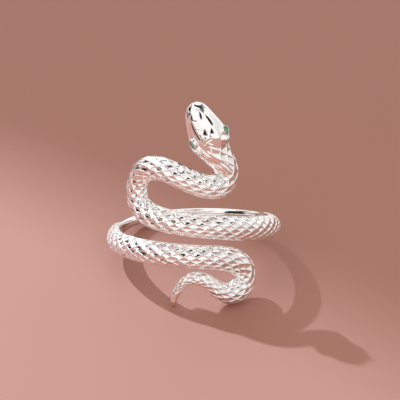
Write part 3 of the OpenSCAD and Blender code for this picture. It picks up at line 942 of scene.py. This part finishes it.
def silver_material():
    """Polished silver with faint clouds and grain, with painted shade, black, in the gaps and pits between
    the plates of the head.
    """
    mat, nodes, links, shader = node_material("polished_silver")
    shader.inputs["Metallic"].default_value = 1
    # painted shade: the dark attribute turns the gaps and pits of the head black
    dark = nodes.new("ShaderNodeAttribute")
    dark.attribute_name = "dark"
    tone = nodes.new("ShaderNodeMix")
    tone.data_type = "RGBA"
    tone.inputs["A"].default_value = (*SILVER, 1)
    tone.inputs["B"].default_value = (*GAP_SHADE, 1)
    links.new(dark.outputs["Fac"], tone.inputs["Factor"])
    links.new(tone.outputs["Result"], shader.inputs["Base Color"])
    rough = nodes.new("ShaderNodeMapRange")
    rough.inputs["From Min"].default_value = 0.3
    rough.inputs["From Max"].default_value = 0.7
    rough.inputs["To Min"].default_value = 0.08
    rough.inputs["To Max"].default_value = 0.12
    links.new(add_noise(nodes, links, scale=900, detail=4), rough.inputs["Value"])
    links.new(rough.outputs["Result"], shader.inputs["Roughness"])
    bump = nodes.new("ShaderNodeBump")
    bump.inputs["Strength"].default_value = 0.12
    bump.inputs["Distance"].default_value = 0.00003
    links.new(add_noise(nodes, links, scale=3500, detail=3), bump.inputs["Height"])
    links.new(bump.outputs["Normal"], shader.inputs["Normal"])
    return mat


def stone_material():
    """Clear green stone."""
    mat, nodes, links, shader = node_material("green_stone")
    cloud = add_noise(nodes, links, scale=1500, detail=2)
    green = add_ramp(nodes, links, cloud, (0.35, DEEP_GREEN), (0.65, PALE_GREEN))
    links.new(green, shader.inputs["Base Color"])
    shader.inputs["Roughness"].default_value = 0.03
    shader.inputs["IOR"].default_value = 1.75
    shader.inputs["Transmission Weight"].default_value = 0.35
    return mat


def floor_material():
    """Plain matt rose."""
    mat, nodes, links, shader = node_material("rose_floor")
    cloud = add_noise(nodes, links, scale=40, detail=3)
    rose = add_ramp(nodes, links, cloud, (0, ROSE), (1, PALE_ROSE))
    links.new(rose, shader.inputs["Base Color"])
    shader.inputs["Roughness"].default_value = 0.6
    return mat


silver = silver_material()
for obj in metal:
    obj.data.materials.append(silver)
    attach(obj, "root")
    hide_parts("snake")
stone = stone_material()
for name in ("left_eye_stone", "right_eye_stone"):
    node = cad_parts[name]
    node.data.materials.clear()
    node.data.materials.append(stone)

# Table
FLOOR_HALF = 0.6
floor_corners = [(x * FLOOR_HALF, y * FLOOR_HALF, 0) for x, y in ((-1, -1), (1, -1), (1, 1), (-1, 1))]
floor_mesh = bpy.data.meshes.new("table")
floor_mesh.from_pydata(floor_corners, [], [(0, 1, 2, 3)])
floor = bpy.data.objects.new("table", floor_mesh)
bpy.context.scene.collection.objects.link(floor)
floor_mesh.materials.append(floor_material())


# Lights, with their places in metres
def direction(azimuth, elevation):
    """Unit vector to a light: azimuth from the front (-Y) towards the right (+X), in degrees."""
    a, e = math.radians(azimuth), math.radians(elevation)
    return Vector((math.sin(a) * math.cos(e), -math.cos(a) * math.cos(e), math.sin(e)))


def add_spot(name, location, target, power, colour, size, cone, blend):
    """A spot light that shines on a target, with its cone in degrees."""
    data = bpy.data.lights.new(name, "SPOT")
    data.energy = power
    data.color = colour
    data.shadow_soft_size = size
    data.spot_size = math.radians(cone)
    data.spot_blend = blend
    spot = bpy.data.objects.new(name, data)
    spot.location = location
    spot.rotation_euler = (spot.location - target).to_track_quat("Z", "Y").to_euler()
    bpy.context.scene.collection.objects.link(spot)


# A spot from behind on the left. The edge of its cone crosses the table from the left to the right.
KEY_FROM = direction(-131.5, 43.5)
KEY_DISTANCE = 0.9
KEY_AIM = Vector((-0.12, -0.186, 0))
add_spot(
    "key", KEY_FROM * KEY_DISTANCE, KEY_AIM,
    power=47.5, colour=(0.53, 0.71, 0.92), size=0.012, cone=27.28, blend=0.05,
)
# A weak soft spot from the front lightens the front of the table and the ring's shadow
FILL_FROM = direction(30, 60)
FILL_DISTANCE = 0.6
FILL_AIM = Vector((0.008, -0.04, 0))
add_spot(
    "fill", FILL_AIM + FILL_FROM * FILL_DISTANCE, FILL_AIM,
    power=4, colour=(1, 1, 1), size=0.08, cone=9, blend=1,
)

# Dark patches of the surroundings that the polished metal mirrors: azimuth, elevation, radius and half the
# width of the soft edge in degrees, and how dark the patch is
PATCHES = [
    (5, 66, 19, 3, 0.98),
    (-73, 3, 22, 3, 0.98),
    (-108, 20, 15, 3, 0.98),
    (155, 38, 8, 3, 0.95),
    (120, 62, 14, 3, 0.98),
    (112, 80, 7, 3, 0.9),
    (72, 13, 32, 17, 0.24),
]
BRIGHTNESS = 1.03
WHITE = (1, 0.985, 0.975)

world = bpy.data.worlds.new("studio")
bpy.context.scene.world = world
world.use_nodes = True
world_nodes, world_links = world.node_tree.nodes, world.node_tree.links
background = world_nodes["Background"]
coords = world_nodes.new("ShaderNodeTexCoord")


def calculated(operation, *values):
    """Result of an operation on numbers or on results of other nodes."""
    node = world_nodes.new("ShaderNodeMath")
    node.operation = operation
    for socket, value in zip(node.inputs, values):
        if isinstance(value, (int, float)):
            socket.default_value = value
        else:
            world_links.new(value, socket)
    return node.outputs[0]


def zone(azimuth, elevation, radius, soft):
    """1 inside a round patch of the surroundings, 0 outside it."""
    dot = world_nodes.new("ShaderNodeVectorMath")
    dot.operation = "DOT_PRODUCT"
    world_links.new(coords.outputs["Generated"], dot.inputs[0])
    dot.inputs[1].default_value = direction(azimuth, elevation)
    edge = world_nodes.new("ShaderNodeMapRange")
    edge.interpolation_type = "SMOOTHSTEP"
    edge.inputs["From Min"].default_value = math.cos(math.radians(radius + soft))
    edge.inputs["From Max"].default_value = math.cos(math.radians(radius - soft))
    world_links.new(dot.outputs["Value"], edge.inputs["Value"])
    return edge.outputs["Result"]


# White surroundings, of which each dark patch keeps a share
kept = [calculated("SUBTRACT", 1.0, calculated("MULTIPLY", zone(*patch), dark)) for *patch, dark in PATCHES]
level = kept[0]
for share in kept[1:]:
    level = calculated("MULTIPLY", level, share)
world_links.new(calculated("MULTIPLY", level, BRIGHTNESS), background.inputs["Strength"])
background.inputs["Color"].default_value = (*WHITE, 1)

# Camera: 13 degrees above the plane across the finger in the upright finger's frame. Its distance and its
# sensor are in millimetres, and where its view begins is in metres.
VIEW_UP = math.radians(13)
DISTANCE = 280.0
PIXELS_PER_MM = 8.33
FRAME_PIXELS = 400
SENSOR = 36
CLIP_START = 0.01
# The middle of the picture from the middle of the ring, in pixels to the right and up
MIDDLE_RIGHT, MIDDLE_UP = 6.5, 31
rightward = np.array([1.0, 0, 0])
forward = np.array([0, math.cos(VIEW_UP), -math.sin(VIEW_UP)])
upward = np.array([0, math.sin(VIEW_UP), math.cos(VIEW_UP)])
target = rightward * (MIDDLE_RIGHT / PIXELS_PER_MM) + upward * MIDDLE_UP / PIXELS_PER_MM
camera_data = bpy.data.cameras.new("camera")
camera_data.sensor_width = SENSOR
camera_data.lens = PIXELS_PER_MM * DISTANCE / FRAME_PIXELS * SENSOR
camera_data.clip_start = CLIP_START
camera = bpy.data.objects.new("camera", camera_data)
turned = Matrix(np.stack([leaned(rightward), leaned(upward), leaned(-forward)], 1).tolist()).to_4x4()
camera.matrix_world = Matrix.Translation(Vector(on_table(target - forward * DISTANCE))) @ turned
bpy.context.scene.collection.objects.link(camera)
bpy.context.scene.camera = camera
bpy.context.scene.view_settings.view_transform = "Standard"
